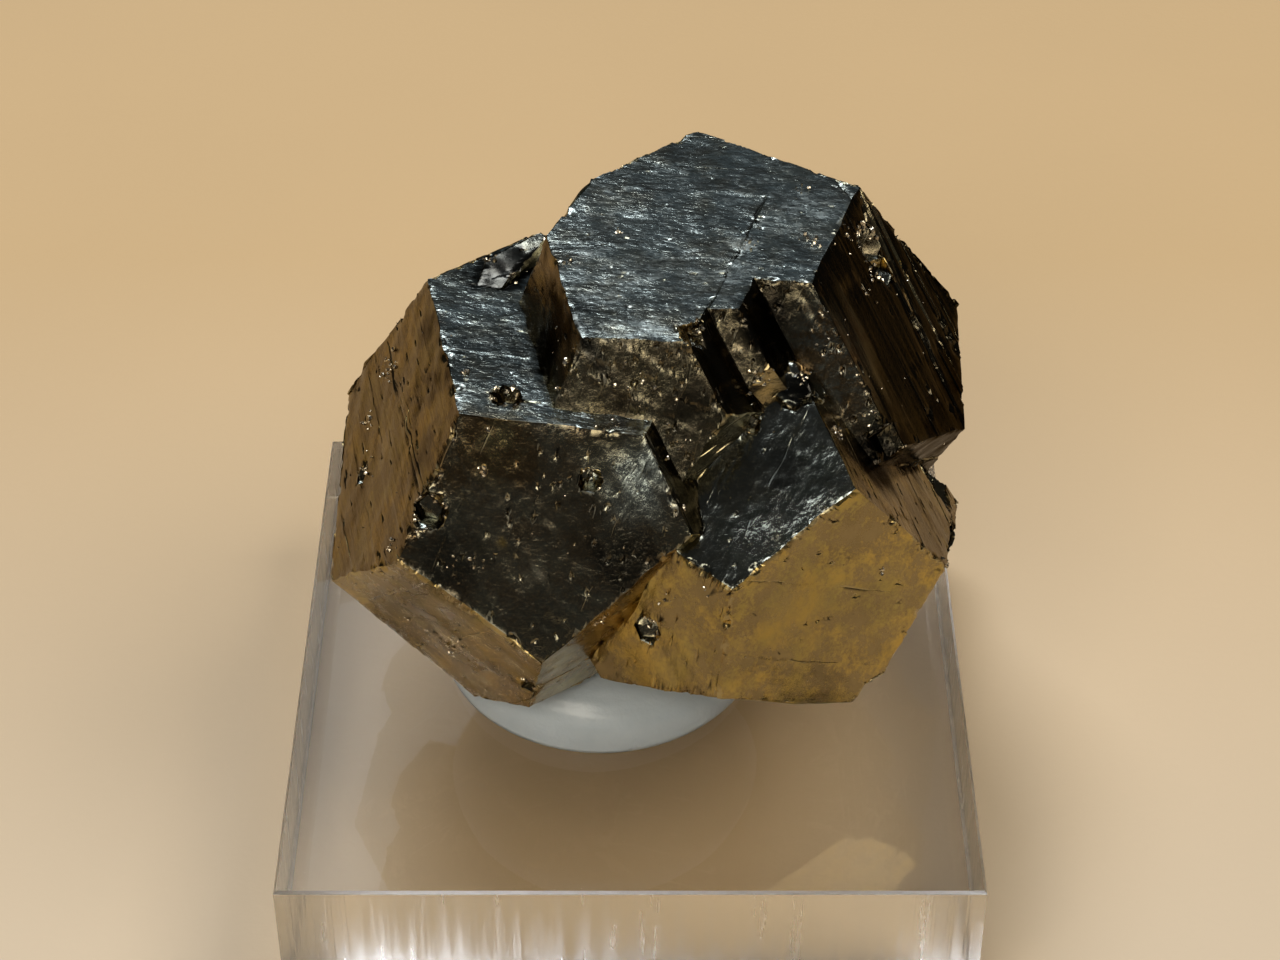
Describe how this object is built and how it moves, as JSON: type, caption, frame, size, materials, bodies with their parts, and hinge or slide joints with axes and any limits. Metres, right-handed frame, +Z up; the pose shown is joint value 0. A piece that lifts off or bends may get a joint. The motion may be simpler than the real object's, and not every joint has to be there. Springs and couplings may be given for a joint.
{
  "type": "mounted pyrite specimen",
  "caption": "Cluster of intergrown brassy pyrite crystals with striated pentagonal faces, held by a pad of pale putty on a clear square display block.",
  "frame": {"origin": "centre of the clear block's underside", "axes": "+Z up out of the block's top face; +X to the right and +Y away, seen from the front"},
  "size_m": [0.0508, 0.0528, 0.0474],
  "materials": {
    "pyrite": "natural metallic lustre, striated and pitted, dark where it reflects nothing bright",
    "mineral_putty": "smooth putty, faint sheen",
    "clear_acrylic": "clear cast acrylic, polished top, saw-marked edges"
  },
  "bodies": {
    "root": {"pyrite_cluster": "pyrite", "mineral_putty": "mineral_putty", "acrylic_block": "clear_acrylic"}
  },
  "joints": []
}
